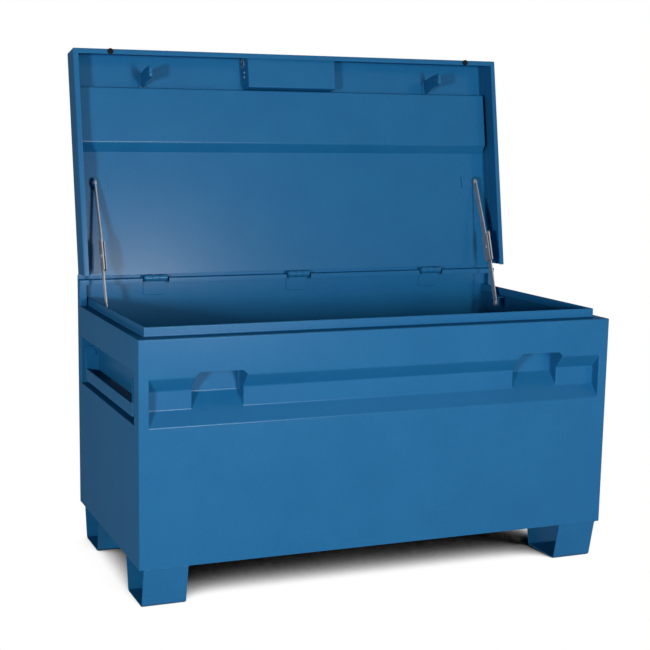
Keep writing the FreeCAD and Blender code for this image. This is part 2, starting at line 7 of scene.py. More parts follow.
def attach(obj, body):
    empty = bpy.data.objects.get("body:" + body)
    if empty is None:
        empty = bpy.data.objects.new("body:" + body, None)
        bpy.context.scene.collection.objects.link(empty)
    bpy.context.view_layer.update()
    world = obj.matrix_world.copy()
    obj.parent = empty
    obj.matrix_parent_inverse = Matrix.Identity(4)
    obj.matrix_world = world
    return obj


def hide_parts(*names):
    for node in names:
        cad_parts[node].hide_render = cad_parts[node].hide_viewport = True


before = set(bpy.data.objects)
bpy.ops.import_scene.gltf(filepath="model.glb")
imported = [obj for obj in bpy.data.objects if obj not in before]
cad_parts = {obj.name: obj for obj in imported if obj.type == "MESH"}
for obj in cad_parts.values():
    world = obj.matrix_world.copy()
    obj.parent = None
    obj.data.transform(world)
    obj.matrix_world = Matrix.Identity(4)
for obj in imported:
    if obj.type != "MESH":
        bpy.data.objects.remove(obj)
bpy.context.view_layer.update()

# ---- Box shell -------------------------------------------------------------------------------
# Front and end walls, shelf and rim: one run of 14-gauge (2 mm) sheet steel, folded on a press
# brake, welded at the corners and powder coated. The long recess and the end pans are let into it.
mm = 0.001  # sizes are in millimetres: x runs to the right, y to the rear and z up
sheet, bend, hem_bend = 2, 2.6, 2.1
half_width, half_depth = 609.6, 304.8
underside, shelf_height, rim_top = 96.0, 623.0, 644.8
rim_x, rim_y, hem_wide, hem_drop = 585.9, -266.0, 4.4, 11
recess_half, recess_y = 584.5, -276.8
recess_low, recess_face_low, recess_face_high, recess_high = 422.5, 454.5, 500.0, 532.5
pocket_middle, pocket_half, hood_top, hood_corner = 415.9, 61.6, 544.0, 10.5
pocket_back, pocket_back_top, housing_back = -246.8, 549.0, -194.8
roof_height, roof_front = shelf_height - 4, -half_depth + 2.2
pan_front, pan_rear, pan_low, pan_high, pan_depth = -264.0, 276.0, 422.5, 543.5, 40.0
band_top = hood_top + 16  # above this line the walls are plain
snug, loose = 0.03, 0.1  # how far a corner may lie from a place and still count as there


def at(value, place):
    return abs(value - place) < snug


def within(value, low, high):
    return low - snug < value < high + snug


def clear_bench():
    """Leave edit mode and let go of every piece, before another is added or picked up."""
    if bpy.context.object and bpy.context.object.mode != "OBJECT":
        bpy.ops.object.mode_set(mode="OBJECT")
    bpy.ops.object.select_all(action="DESELECT")


def only(piece):
    clear_bench()
    piece.select_set(True)
    bpy.context.view_layer.objects.active = piece


def plate(name, corner, along, across):
    """Start a flat plate from one corner; it faces the way that along x across points."""
    clear_bench()
    bpy.ops.mesh.primitive_plane_add(size=1)
    piece = bpy.context.object
    piece.name = name
    along, across = Vector(along) * mm, Vector(across) * mm
    axes = Matrix((along, across, along.cross(across).normalized())).transposed().to_4x4()
    axes.translation = Vector(corner) * mm + (along + across) / 2
    piece.matrix_world = axes
    bpy.ops.object.transform_apply()
    bpy.ops.object.mode_set(mode="EDIT")
    return piece


def pick(kind, *places):
    """Select the vertices, edges or faces that lie wholly in one of the places."""
    bpy.ops.mesh.select_mode(type={"verts": "VERT", "edges": "EDGE", "faces": "FACE"}[kind])
    bpy.ops.mesh.select_all(action="DESELECT")
    mesh = bpy.context.object.data
    shape = bmesh.from_edit_mesh(mesh)
    for part in getattr(shape, kind):
        corners = [part.co / mm] if kind == "verts" else [corner.co / mm for corner in part.verts]
        corners.append(sum(corners, Vector()) / len(corners))
        if any(all(place(corner) for corner in corners) for place in places):
            part.select_set(True)
    bmesh.update_edit_mesh(mesh)


def extend(x=0, y=0, z=0):
    bpy.ops.mesh.extrude_region_move(TRANSFORM_OT_translate={"value": Vector((x, y, z)) * mm})


def shift(place, x=0, y=0, z=0):
    pick("verts", place)
    bpy.ops.transform.translate(value=Vector((x, y, z)) * mm)


def score(axis, lines, place=lambda p: True):
    """Cut the faces in a place along lines square to an axis."""
    for line in lines:
        pick("faces", place)
        point, normal = Vector(), Vector()
        point["xyz".index(axis)], normal["xyz".index(axis)] = line * mm, 1
        bpy.ops.mesh.bisect(plane_co=point, plane_no=normal)


def cut_out(*places):
    pick("faces", *places)
    bpy.ops.mesh.delete(type="FACE")


def fold_corners(radius, steps=4, place=lambda p: True):
    """Give the folds of the sheet that lie in a place their bend radius."""
    bpy.ops.mesh.select_mode(type="EDGE")
    bpy.ops.mesh.select_all(action="DESELECT")
    bpy.ops.mesh.edges_select_sharp(sharpness=math.radians(15))
    mesh = bpy.context.object.data
    for edge in bmesh.from_edit_mesh(mesh).edges:
        if not all(place(corner.co / mm) for corner in edge.verts):
            edge.select_set(False)
    bmesh.update_edit_mesh(mesh)
    bpy.ops.mesh.bevel(offset=radius * mm, segments=steps, affect="EDGES")


def apply_all(piece):
    for modifier in list(piece.modifiers):
        bpy.ops.object.modifier_apply(modifier=modifier.name)


def round_edges(piece, radius, holes=()):
    """Drill a solid piece, break its cut edges and set its shading, as the last step."""
    only(piece)
    for drill in holes:
        bore = piece.modifiers.new("hole", "BOOLEAN")
        bore.object, bore.operation = drill, "DIFFERENCE"
        apply_all(piece)
        bpy.data.objects.remove(drill)
    edge = piece.modifiers.new("broken edge", "BEVEL")
    edge.width, edge.segments = radius * mm, 2
    edge.limit_method, edge.angle_limit = "ANGLE", math.radians(50)
    apply_all(piece)
    bpy.ops.object.shade_smooth_by_angle(angle=math.radians(35))
    piece.modifiers.new("flat faces", "WEIGHTED_NORMAL").keep_sharp = True
    apply_all(piece)


def make_sheet(piece, thickness, edge=0.3, holes=()):
    """Give a folded surface its thickness behind the face, drill it and break its cut edges."""
    only(piece)
    wall = piece.modifiers.new("thickness", "SOLIDIFY")
    wall.thickness, wall.offset, wall.use_even_offset = thickness * mm, -1, True
    apply_all(piece)
    round_edges(piece, edge, holes)


def linear(hex_colour):
    channels = [int(hex_colour[i:i + 2], 16) / 255 for i in (1, 3, 5)]
    return [c / 12.92 if c <= 0.04045 else ((c + 0.055) / 1.055) ** 2.4 for c in channels] + [1]


def node(tree, kind, settings={}, links={}):
    """Add a shader node; a setting is a property of the node or the value of one of its sockets."""
    made = tree.nodes.new(kind)
    for name, value in settings.items():
        if isinstance(name, str) and hasattr(made, name):
            setattr(made, name, value)
        else:
            made.inputs[name].default_value = value
    for name, source in links.items():
        tree.links.new(source, made.inputs[name])
    return made


# Polyester powder coat, sprayed and baked on steel: satin, slightly clouded where the film is
# thicker, with the fine orange peel of the cured powder. Real peel is 1 to 3 mm across; it is
# drawn at 7 mm so that it shows. The gloss comes from a thin, weak coat over a matt base, because
# the satin film shines where a lamp is mirrored and hardly at all at a glancing angle.
powder_coat = bpy.data.materials.new("blue_powder_coat_satin")
powder_coat.use_nodes = True
tree = powder_coat.node_tree
shader = tree.nodes["Principled BSDF"]
spot = node(tree, "ShaderNodeTexCoord").outputs["Object"]
cloud = node(tree, "ShaderNodeTexNoise", {"Scale": 1 / 0.12, "Detail": 3.0}, {"Vector": spot})
speckle = node(tree, "ShaderNodeTexNoise", {"Scale": 1 / 0.006, "Detail": 2.0}, {"Vector": spot})
peel = node(tree, "ShaderNodeTexNoise", {"Scale": 1 / 0.007, "Detail": 1.0}, {"Vector": spot})
film = node(tree, "ShaderNodeMix",
            {"data_type": "RGBA", 6: linear("#195F91"), 7: linear("#1F6999")},
            {0: cloud.outputs["Fac"]})
grain = node(tree, "ShaderNodeMapRange",
             {"From Min": 0.3, "From Max": 0.7, "To Min": 0.96, "To Max": 1.04},
             {"Value": speckle.outputs["Fac"]})
tinted = node(tree, "ShaderNodeMix", {"data_type": "RGBA", "blend_type": "MULTIPLY", 0: 1.0},
              {6: film.outputs[2], 7: grain.outputs[0]})
gloss = node(tree, "ShaderNodeMapRange",
             {"From Min": 0.3, "From Max": 0.7, "To Min": 0.34, "To Max": 0.42},
             {"Value": cloud.outputs["Fac"]})
skin = node(tree, "ShaderNodeBump", {"Strength": 0.12, "Distance": 0.0006},
            {"Height": peel.outputs["Fac"]})
shader.inputs["Specular IOR Level"].default_value = 0.0
shader.inputs["Coat Weight"].default_value = 0.05
shader.inputs["Coat Roughness"].default_value = 0.24
shader.inputs["Coat IOR"].default_value = 3.0
tree.links.new(tinted.outputs[2], shader.inputs["Base Color"])
tree.links.new(gloss.outputs[0], shader.inputs["Roughness"])
tree.links.new(skin.outputs[0], shader.inputs["Normal"])
tree.links.new(skin.outputs[0], shader.inputs["Coat Normal"])


def near_pocket(p, half):
    return abs(abs(p.x) - pocket_middle) < half + loose


shell = plate("box_shell", (-half_width, -half_depth, underside), (2 * half_width, 0, 0),
              (0, 0, shelf_height - underside))
score("z", [recess_low, recess_high, band_top])
lines = [side * line for side in (-1, 1) for line in (
    recess_half, pocket_middle - pocket_half, pocket_middle - pocket_half + hood_corner,
    pocket_middle + pocket_half - hood_corner, pocket_middle + pocket_half)]
score("x", lines, lambda p: within(p.z, recess_low, band_top))
cut_out(lambda p: abs(p.x) < recess_half + loose and within(p.z, recess_low, recess_high))
score("z", [hood_top], lambda p: near_pocket(p, pocket_half) and p.z > recess_high - loose)
cut_out(lambda p: near_pocket(p, pocket_half - hood_corner) and within(p.z, recess_high, hood_top))
for side in (-1, 1):
    for end in (-1, 1):
        outer = side * pocket_middle + end * pocket_half
        inner = outer - end * hood_corner
        pick("faces", lambda p: within(p.x, min(outer, inner), max(outer, inner))
             and within(p.z, recess_high, hood_top))
        slant = Vector((-end * (hood_top - recess_high), 0, -hood_corner)).normalized()
        bpy.ops.mesh.bisect(plane_co=Vector((outer, 0, recess_high)) * mm, plane_no=slant,
                            clear_outer=True)

# The recess: two slopes and a face between them, and at each pocket the lower slope runs on back.
pick("edges", lambda p: at(p.z, recess_high) and abs(p.x) < recess_half + loose
     and not near_pocket(p, pocket_half - 1))
extend(y=recess_y + half_depth, z=recess_face_high - recess_high)
extend(z=recess_face_low - recess_face_high)
pick("edges", lambda p: at(p.z, recess_low) and at(p.y, -half_depth)
     and abs(p.x) < recess_half + loose)
extend(y=recess_y + half_depth, z=recess_face_low - recess_low)
slope = (recess_face_low - recess_low) / (recess_y + half_depth)
pick("edges", lambda p: at(p.z, recess_face_low) and near_pocket(p, pocket_half))
extend(y=pocket_back - recess_y, z=(pocket_back - recess_y) * slope)
pocket_floor_rear = recess_face_low + (pocket_back - recess_y) * slope
extend(z=pocket_back_top - pocket_floor_rear)
extend(y=housing_back - pocket_back)
extend(z=roof_height - pocket_back_top)
extend(y=roof_front - housing_back)
bpy.ops.mesh.select_all(action="SELECT")
bpy.ops.mesh.remove_doubles(threshold=0.02 * mm)
for side in (-1, 1):
    pick("edges", lambda p: at(p.x, side * recess_half) and within(p.z, recess_low, recess_high))
    bpy.ops.mesh.edge_face_add()
    for end in (-1, 1):
        cheek = side * pocket_middle + end * pocket_half
        mouth = lambda p: (at(p.x, cheek) and p.y < recess_y + loose
                           and within(p.z, recess_face_low, recess_high))
        cavity = lambda p: (at(p.x, cheek) and p.y > recess_y - loose
                            and p.z > recess_face_low - loose)
        ceiling = lambda p: at(p.x, cheek) and at(p.z, roof_height)
        pick("edges", mouth, cavity, ceiling)
        bpy.ops.mesh.edge_face_add()

# A slot in the roof of each pocket lets the lid's hook drop in.
slot_half, slot_front, slot_rear = 7.0, -264.0, -223.0
roof = lambda p: at(p.z, roof_height) and near_pocket(p, pocket_half)
slot_band = lambda p: roof(p) and within(p.y, slot_front, slot_rear)
score("y", [slot_front, slot_rear], roof)
score("x", [side * (pocket_middle + end * slot_half) for side in (-1, 1) for end in (-1, 1)],
      slot_band)
cut_out(lambda p: slot_band(p) and near_pocket(p, slot_half))

# The ends, their handle pans, and the shelf and hemmed rim around the top.
end_wall = lambda p: at(abs(p.x), half_width)
pan_band = lambda p: end_wall(p) and within(p.z, recess_low, band_top)
pan_mouth = lambda p: (end_wall(p) and within(p.y, pan_front, pan_rear)
                       and within(p.z, pan_low, pan_high))
pick("edges", end_wall)
extend(y=2 * half_depth - sheet)
score("y", [pan_front, pan_rear], pan_band)
score("z", [pan_high], pan_band)
cut_out(pan_mouth)
for side in (-1, 1):
    pick("edges", lambda p: pan_mouth(p) and side * p.x > 0)
    extend(x=-side * pan_depth)
    bpy.ops.mesh.edge_face_add()


def top_run(height, front, end):
    """Where the edges at a height run: along the front, and along the two ends."""
    return (lambda p: at(p.z, height) and at(p.y, front),
            lambda p: at(p.z, height) and at(abs(p.x), end))


def turn_in(height, front, end, front_run, end_run, aside=1):
    """Fold the edges at a height inwards; the new ones are moved while they stand aside."""
    pick("edges", *top_run(height, front, end))
    extend(z=aside)
    shift(lambda p: at(p.z, height + aside) and at(p.y, front), y=front_run)
    shift(lambda p: at(p.z, height + aside) and p.x > 0, x=-end_run)
    shift(lambda p: at(p.z, height + aside) and p.x < 0, x=end_run)
    shift(lambda p: at(p.z, height + aside), z=-aside)


turn_in(shelf_height, -half_depth, half_width, rim_y + half_depth, half_width - rim_x)
pick("edges", *top_run(shelf_height, rim_y, rim_x))
extend(z=rim_top - shelf_height)
turn_in(rim_top, rim_y, rim_x, hem_wide, hem_wide)
pick("edges", *top_run(rim_top, rim_y + hem_wide, rim_x - hem_wide))
extend(z=-hem_drop)
bpy.ops.mesh.select_all(action="SELECT")
bpy.ops.mesh.normals_make_consistent(inside=False)
fold_corners(bend, place=lambda p: p.z < rim_top - loose and not at(p.z, rim_top - hem_drop))
fold_corners(hem_bend, place=lambda p: at(p.z, rim_top))
make_sheet(shell, sheet)
shell.data.materials.append(powder_coat)
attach(shell, "chest")
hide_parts("front_panel", "recess_upper_slope", "recess_face", "recess_lower_slope",
            "recess_end_walls", "padlock_housing_left", "padlock_housing_right", "side_panel_left",
            "side_panel_right", "front_shelf", "side_shelf_left", "side_shelf_right", "front_rim",
            "side_rim_left", "side_rim_right", "handle_pan_left", "handle_pan_right")

# ---- Rear wall -------------------------------------------------------------------------------
# One flat 2 mm sheet with its top corners rounded off, welded between the end walls and powder
# coated with them. It stands up a little behind the hinges.
rear_wall_tall = 607.5


def round_corners(radius, place, steps):
    """Give the corners of a plate that lie in a place their radius."""
    pick("verts", place)
    bpy.ops.mesh.bevel(offset=radius * mm, segments=steps, affect="VERTICES")


rear_wall = plate("rear_wall", (half_width, half_depth, underside), (-2 * half_width, 0, 0),
                  (0, 0, rear_wall_tall))
round_corners(4, lambda p: p.z > shelf_height, steps=4)
make_sheet(rear_wall, sheet, edge=0.6)
rear_wall.data.materials.append(powder_coat)
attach(rear_wall, "chest")
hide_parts("rear_panel")

# ---- Hinge rail ------------------------------------------------------------------------------
# Angle of 2 mm sheet, folded on the brake and notched for each hinge. It is welded along the
# inside of the rear wall and stiffens its top.
hinge_places, notch_half, notch_rear = (-405.0, 0.0, 405.0), 36, 300
rail_y, rail_wide, rail_top, rail_lip_low, rail_half = 281.0, 21.8, 690.5, 676.5, 607.6
at_hinge = lambda p: any(abs(p.x - place) < notch_half + loose for place in hinge_places)
rail = plate("hinge_rail_angle", (-rail_half, rail_y, rail_top), (2 * rail_half, 0, 0),
             (0, rail_wide, 0))
pick("edges", lambda p: at(p.y, rail_y))
extend(z=rail_lip_low - rail_top)
score("x", [place + side * notch_half for place in hinge_places for side in (-1, 1)])
score("y", [notch_rear], lambda p: at_hinge(p) and at(p.z, rail_top))
cut_out(lambda p: at_hinge(p) and p.y < notch_rear + loose)
fold_corners(bend)
make_sheet(rail, sheet)
rail.data.materials.append(powder_coat)
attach(rail, "chest")
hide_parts("hinge_rail")

# ---- Corner posts ----------------------------------------------------------------------------
# Short folded angles of 2 mm sheet that close the ends of the rail above the shelf, welded to
# both and coated with them.
post_wide = 18.6


def turn_over(piece, name, axis="x"):
    """A copy with its own mesh on the other side of the box, before it gets its thickness."""
    only(piece)
    bpy.ops.object.duplicate()
    twin = bpy.context.object
    twin.name = name
    twin.scale["xyz".index(axis)] = -1
    bpy.ops.object.transform_apply()
    bpy.ops.object.mode_set(mode="EDIT")
    bpy.ops.mesh.select_all(action="SELECT")
    bpy.ops.mesh.flip_normals()
    bpy.ops.object.mode_set(mode="OBJECT")
    return twin


post_right = plate("corner_post_angle_right", (half_width - post_wide, rail_y, shelf_height),
                   (post_wide, 0, 0), (0, 0, rail_top - shelf_height))
pick("edges", lambda p: at(p.x, half_width))
extend(y=rail_wide)
score("z", [rail_lip_low], lambda p: at(p.y, rail_y))
cut_out(lambda p: at(p.y, rail_y) and p.z > rail_lip_low - loose)
fold_corners(bend)
post_left = turn_over(post_right, "corner_post_angle_left")
for post, cad in ((post_right, "corner_post_right"), (post_left, "corner_post_left")):
    make_sheet(post, sheet)
    post.data.materials.append(powder_coat)
    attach(post, "chest")
    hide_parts(cad)

# ---- Feet ------------------------------------------------------------------------------------
# Four feet of 3 mm plate, each folded into two slanting legs and a flat sole, open to the sides,
# and stitch welded to the underside of the box.
foot_left, foot_wide, foot_front, foot_deep, foot_slant = -598.3, 105.6, -301.2, 163.4, 20.0
foot_plate, foot_bend = 3, 7
foot = plate("foot_plate_front_left", (foot_left, foot_front + foot_slant, 0), (foot_wide, 0, 0),
             (0, -foot_slant, underside))
pick("edges", lambda p: at(p.z, 0))
extend(y=foot_deep - 2 * foot_slant)
extend(y=foot_slant, z=underside)
fold_corners(foot_bend, steps=6)
feet = [(foot, "foot_front_left")]
feet.append((turn_over(foot, "foot_plate_front_right"), "foot_front_right"))
feet.append((turn_over(foot, "foot_plate_rear_left", "y"), "foot_rear_left"))
feet.append((turn_over(feet[1][0], "foot_plate_rear_right", "y"), "foot_rear_right"))
for piece, cad in feet:
    make_sheet(piece, foot_plate, edge=0.5)
    piece.data.materials.append(powder_coat)
    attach(piece, "chest")
    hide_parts(cad)

# ---- Lid shell -------------------------------------------------------------------------------
# The lid is a shallow tray of 2 mm sheet: flanges folded down at the front and ends, and a lip
# folded in along them. It is drawn closed and then swung open on the hinge line.
hinge_y, hinge_z, open_angle = 286.0, 690.5, 99.67
lid_top, lid_front, lid_rear, lip_height, lip_deep = 698.2, -301.2, 276.0, 627.8, 13.4
flange_rear, flange_rake, lid_bend = 271, 9, 3
hinge_line = Vector((0, hinge_y, hinge_z)) * mm
swing = (Matrix.Translation(hinge_line) @ Matrix.Rotation(math.radians(-open_angle), 4, "X")
         @ Matrix.Translation(-hinge_line))


def swing_open(piece):
    only(piece)
    piece.matrix_world = swing
    bpy.ops.object.transform_apply()


lid = plate("lid_shell", (-half_width, lid_front, lid_top), (2 * half_width, 0, 0),
            (0, lid_rear - lid_front, 0))
score("y", [flange_rear])
pick("edges", lambda p: at(p.y, lid_front), lambda p: end_wall(p) and p.y < flange_rear + loose)
extend(z=lip_height - lid_top)
shift(lambda p: at(p.z, lip_height) and at(p.y, flange_rear), y=flange_rake)
turn_in(lip_height, lid_front, half_width, lip_deep, lip_deep, aside=-1)
fold_corners(lid_bend)
swing_open(lid)
make_sheet(lid, sheet)
lid.data.materials.append(powder_coat)
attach(lid, "lid")
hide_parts("lid_panel", "lid_front_flange", "lid_side_flange_left", "lid_side_flange_right")

# ---- Lid stiffener and lock plate ------------------------------------------------------------
# A folded channel of 2 mm sheet across the inside of the lid, with a slanting side towards the
# hinges, and in front of it the flat 3 mm plate that backs the lock gear. Both are plug welded.
brace_half, channel_front, channel_rear, channel_face, channel_deep = 592.0, -212, -68, 674.5, 21.7
channel_bend, lock_back_height, lock_back_wide, lock_back_plate = 3.5, 693.2, 87.2, 3
channel = plate("lid_stiffener", (-brace_half, channel_rear, channel_face),
                (2 * brace_half, 0, 0), (0, channel_front - channel_rear, 0))
pick("edges", lambda p: at(p.y, channel_rear))
extend(y=channel_deep, z=channel_deep)
pick("edges", lambda p: at(p.y, channel_front))
extend(z=channel_deep)
fold_corners(channel_bend)
swing_open(channel)
make_sheet(channel, sheet)
lock_back = plate("lid_lock_backing_plate", (-brace_half, channel_front, lock_back_height),
                  (2 * brace_half, 0, 0), (0, -lock_back_wide, 0))
swing_open(lock_back)
make_sheet(lock_back, lock_back_plate, edge=0.8)
for piece, cad in ((channel, "lid_channel"), (lock_back, "lid_lock_plate")):
    piece.data.materials.append(powder_coat)
    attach(piece, "lid")
    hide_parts(cad)

# ---- Lock box --------------------------------------------------------------------------------
# A folded cover over the lock gear near the middle of the lid's front edge, open towards the
# flange, with a drilled and collared hole through each end wall.
box_left, box_right, box_front, box_rear, box_face = -133.5, 120.5, -299.2, -214.2, 646.5
box_bend = 4
bore_y, bore_z, bore_radius = -285.2, 684.7, 9.5
collar_radius, collar_thick, rivet_rows, rivet_z = 12.5, 2.6, (-259, -247), 677


def rod(name, centre, axis, radius, length):
    """A round bar along an axis, made at its place."""
    turn = {"x": (0, math.pi / 2, 0), "y": (math.pi / 2, 0, 0), "z": (0, 0, 0)}[axis]
    clear_bench()
    bpy.ops.mesh.primitive_cylinder_add(vertices=48, radius=radius * mm, depth=length * mm,
                                        location=Vector(centre) * mm, rotation=turn)
    piece = bpy.context.object
    piece.name = name
    bpy.ops.object.transform_apply()
    return piece


cover = plate("lock_gear_cover", (box_left, box_rear, box_face), (box_right - box_left, 0, 0),
              (0, box_front - box_rear, 0))
pick("edges", lambda p: at(p.y, box_rear), lambda p: at(p.x, box_left),
     lambda p: at(p.x, box_right))
extend(z=lock_back_height - box_face)
fold_corners(box_bend)
swing_open(cover)
drill = rod("drill", ((box_left + box_right) / 2, bore_y, bore_z), "x", bore_radius, length=400)
swing_open(drill)
make_sheet(cover, sheet, edge=0.4, holes=[drill])
cover.data.materials.append(powder_coat)
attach(cover, "lid")
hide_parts("lock_box")

# The collars and the rivets through the cover's end walls are zinc plated and left bare.
# Zinc plate on mild steel: a dull, cool grey metal with a faint crystal bloom about 3 mm across,
# drawn at 4 mm, and stains of a few centimetres.
zinc_plate = bpy.data.materials.new("zinc_plated_steel_dull")
zinc_plate.use_nodes = True
tree = zinc_plate.node_tree
shader = tree.nodes["Principled BSDF"]
spot = node(tree, "ShaderNodeTexCoord").outputs["Object"]
bloom = node(tree, "ShaderNodeTexNoise", {"Scale": 1 / 0.004, "Detail": 3.0}, {"Vector": spot})
stain = node(tree, "ShaderNodeTexNoise", {"Scale": 1 / 0.03, "Detail": 2.0}, {"Vector": spot})
plating = node(tree, "ShaderNodeMix",
               {"data_type": "RGBA", 6: linear("#8B9098"), 7: linear("#ADB1B7")},
               {0: stain.outputs["Fac"]})
dullness = node(tree, "ShaderNodeMapRange",
                {"From Min": 0.3, "From Max": 0.7, "To Min": 0.46, "To Max": 0.62},
                {"Value": bloom.outputs["Fac"]})
shader.inputs["Metallic"].default_value = 0.6
tree.links.new(plating.outputs[2], shader.inputs["Base Color"])
tree.links.new(dullness.outputs[0], shader.inputs["Roughness"])


def join(pieces, name):
    only(pieces[0])
    for piece in pieces:
        piece.select_set(True)
    bpy.ops.object.join()
    pieces[0].name = name
    return pieces[0]


def stud(centre, axis, radius, height, way):
    """A domed rivet head that stands up one way along an axis from its middle point."""
    turn = {"x": (0, way * math.pi / 2, 0), "y": (-way * math.pi / 2, 0, 0), "z": (0, 0, 0)}[axis]
    clear_bench()
    bpy.ops.mesh.primitive_cylinder_add(vertices=32, radius=radius * mm, depth=height * mm)
    head = bpy.context.object
    bpy.ops.object.mode_set(mode="EDIT")
    pick("faces", lambda p: at(p.z, height / 2))
    bpy.ops.mesh.bevel(offset=0.6 * height * mm, segments=4, affect="EDGES")
    bpy.ops.object.mode_set(mode="OBJECT")
    head.rotation_euler = turn
    head.location = Vector(centre) * mm
    bpy.ops.object.transform_apply()
    return head


trim = []
for wall, way in ((box_left, -1), (box_right, 1)):
    collar = rod("collar", (wall + way * collar_thick / 2, bore_y, bore_z), "x",
                 collar_radius, collar_thick)
    drill = rod("drill", (wall, bore_y, bore_z), "x", bore_radius - 0.1, length=20)
    round_edges(collar, 0.8, [drill])
    trim += [collar] + [stud((wall + way * 1.2, y, rivet_z), "x", radius=3.6, height=2.6, way=way)
                        for y in rivet_rows]
trim = join(trim, "lock_box_collars_and_rivets")
swing_open(trim)
round_edges(trim, 0.1)
trim.data.materials.append(zinc_plate)
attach(trim, "lid")

# ---- Hasps -----------------------------------------------------------------------------------
# Two hooks of 8 mm plate with an eye for the padlock, each fillet welded to a foot plate on the
# lock plate; they drop through the slots into the pockets when the lid is shut.
hook_plate, hook_front, hook_rear, hook_tip, hook_neck = 8, -256, -226, 600.5, 648.2
hook_front_lean, hook_rear_lean = 6, 11
eye_y, eye_z, eye_radius = -241, 615.5, 7
foot_half, hasp_foot_front, hasp_foot_rear, hasp_foot_face = 10, -253, -215, 689.2
hasp_foot_plate = 4
fillet_x, fillet_front, fillet_rear, fillet_z = 5.2, -250, -218, 688.6
toe_half, toe_y, toe_z = 8, -213.6, 691.4


def weld_bead(start, end, radius):
    """A run of weld: overlapping ripples in a row, melted into one another."""
    start, end = Vector(start), Vector(end)
    count = max(3, round((end - start).length / (0.7 * radius)) + 1)
    clear_bench()
    bpy.ops.mesh.primitive_uv_sphere_add(segments=12, ring_count=8, radius=radius * mm,
                                         location=start * mm)
    bead = bpy.context.object
    bead.name = "weld_bead"
    bpy.ops.object.transform_apply()
    ripples = bead.modifiers.new("ripples", "ARRAY")
    ripples.count, ripples.use_relative_offset, ripples.use_constant_offset = count, False, True
    ripples.constant_offset_displace = (end - start) * mm / (count - 1)
    melt = bead.modifiers.new("melted", "REMESH")
    melt.mode, melt.voxel_size = "VOXEL", 0.24 * radius * mm
    apply_all(bead)
    bpy.ops.object.shade_smooth()
    return bead


for side, name in ((-1, "left"), (1, "right")):
    middle = side * pocket_middle
    blade = plate("hasp_hook_" + name, (middle + hook_plate / 2, hook_front, hook_tip),
                  (0, hook_rear - hook_front, 0), (0, 0, hook_neck - hook_tip))
    pick("edges", lambda p: at(p.z, hook_neck))
    extend(z=lock_back_height - hook_neck)
    shift(lambda p: at(p.z, lock_back_height) and at(p.y, hook_front), y=hook_front_lean)
    shift(lambda p: at(p.z, lock_back_height) and at(p.y, hook_rear), y=hook_rear_lean)
    round_corners(7, lambda p: at(p.z, hook_tip), steps=4)
    eye = rod("drill", (middle, eye_y, eye_z), "x", eye_radius, length=30)
    make_sheet(blade, hook_plate, edge=1.2, holes=[eye])
    hasp_foot = plate("hasp_foot", (middle - foot_half, hasp_foot_rear, hasp_foot_face),
                      (2 * foot_half, 0, 0), (0, hasp_foot_front - hasp_foot_rear, 0))
    make_sheet(hasp_foot, hasp_foot_plate, edge=1)
    runs = [weld_bead((middle + way * fillet_x, fillet_front, fillet_z),
                      (middle + way * fillet_x, fillet_rear, fillet_z), radius=2.6)
            for way in (-1, 1)]
    runs.append(weld_bead((middle - toe_half, toe_y, toe_z),
                          (middle + toe_half, toe_y, toe_z), radius=2.4))
    hook = join([blade, hasp_foot] + runs, "hasp_hook_" + name)
    swing_open(hook)
    hook.data.materials.append(powder_coat)
    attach(hook, "lid")
    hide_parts("hasp_" + name)

# ---- Lid bumpers -----------------------------------------------------------------------------
# Black moulded rubber buttons pressed into the front lip, with a dimple for the moulding pin.
# They land on the shelf when the lid shuts.
bumper_x, bumper_y, bumper_face = 513, -294.5, 623.3
bumper_radius, bumper_thick, dimple_depth = 7.5, 4.5, 1.2

# Moulded rubber: near black and dull, with dust that lightens it in specks of 3 mm.
rubber = bpy.data.materials.new("black_rubber_moulded")
rubber.use_nodes = True
tree = rubber.node_tree
shader = tree.nodes["Principled BSDF"]
spot = node(tree, "ShaderNodeTexCoord").outputs["Object"]
dust = node(tree, "ShaderNodeTexNoise", {"Scale": 1 / 0.003, "Detail": 3.0}, {"Vector": spot})
black = node(tree, "ShaderNodeMix",
             {"data_type": "RGBA", 6: linear("#060607"), 7: linear("#121214")},
             {0: dust.outputs["Fac"]})
tree.links.new(black.outputs[2], shader.inputs["Base Color"])
shader.inputs["Roughness"].default_value = 0.72
shader.inputs["Specular IOR Level"].default_value = 0.15

buttons = []
for side in (-1, 1):
    face = Vector((side * bumper_x, bumper_y, bumper_face))
    button = rod("button", face + Vector((0, 0, bumper_thick / 2)), "z",
                 bumper_radius, bumper_thick)
    bpy.ops.object.mode_set(mode="EDIT")
    pick("faces", lambda p: at(p.z, bumper_face))
    bpy.ops.mesh.inset(thickness=5 * mm)
    extend(z=dimple_depth)
    pick("edges", lambda p: at(p.z, bumper_face) and (p - face).length > bumper_radius - 1.5)
    bpy.ops.mesh.bevel(offset=1.6 * mm, segments=4, affect="EDGES")
    buttons.append(button)
buttons = join(buttons, "lid_bumper_buttons")
swing_open(buttons)
round_edges(buttons, 0.3)
buttons.data.materials.append(rubber)
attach(buttons, "lid")
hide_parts("lid_bumpers")

# ---- Hinges ----------------------------------------------------------------------------------
# Three butt hinges of 3 mm plate: a leaf with two knuckles welded to the rear wall, a leaf with
# one knuckle welded to the lid, and a headed steel pin through them, all coated in place.
hinge_plate, leaf_half, leaf_face, leaf_low, leaf_high = 3, 30, 299.8, 645, 681.5
leaf_corner, leaf_bend = 4, 1.2
lid_leaf_front, lid_leaf_tab, lid_leaf_height = 241, 274, 701.2
gap_half, tab_half, knuckle_radius, pin_radius = 10.25, 9.75, 9, 4.5
pin_length, pin_head_x = 60.6, 31.3
wall_run_half, wall_run_y, wall_run_z = 25, 302.2, 644.8
lid_run_half, lid_run_y, lid_run_z = 22, 240.6, 699


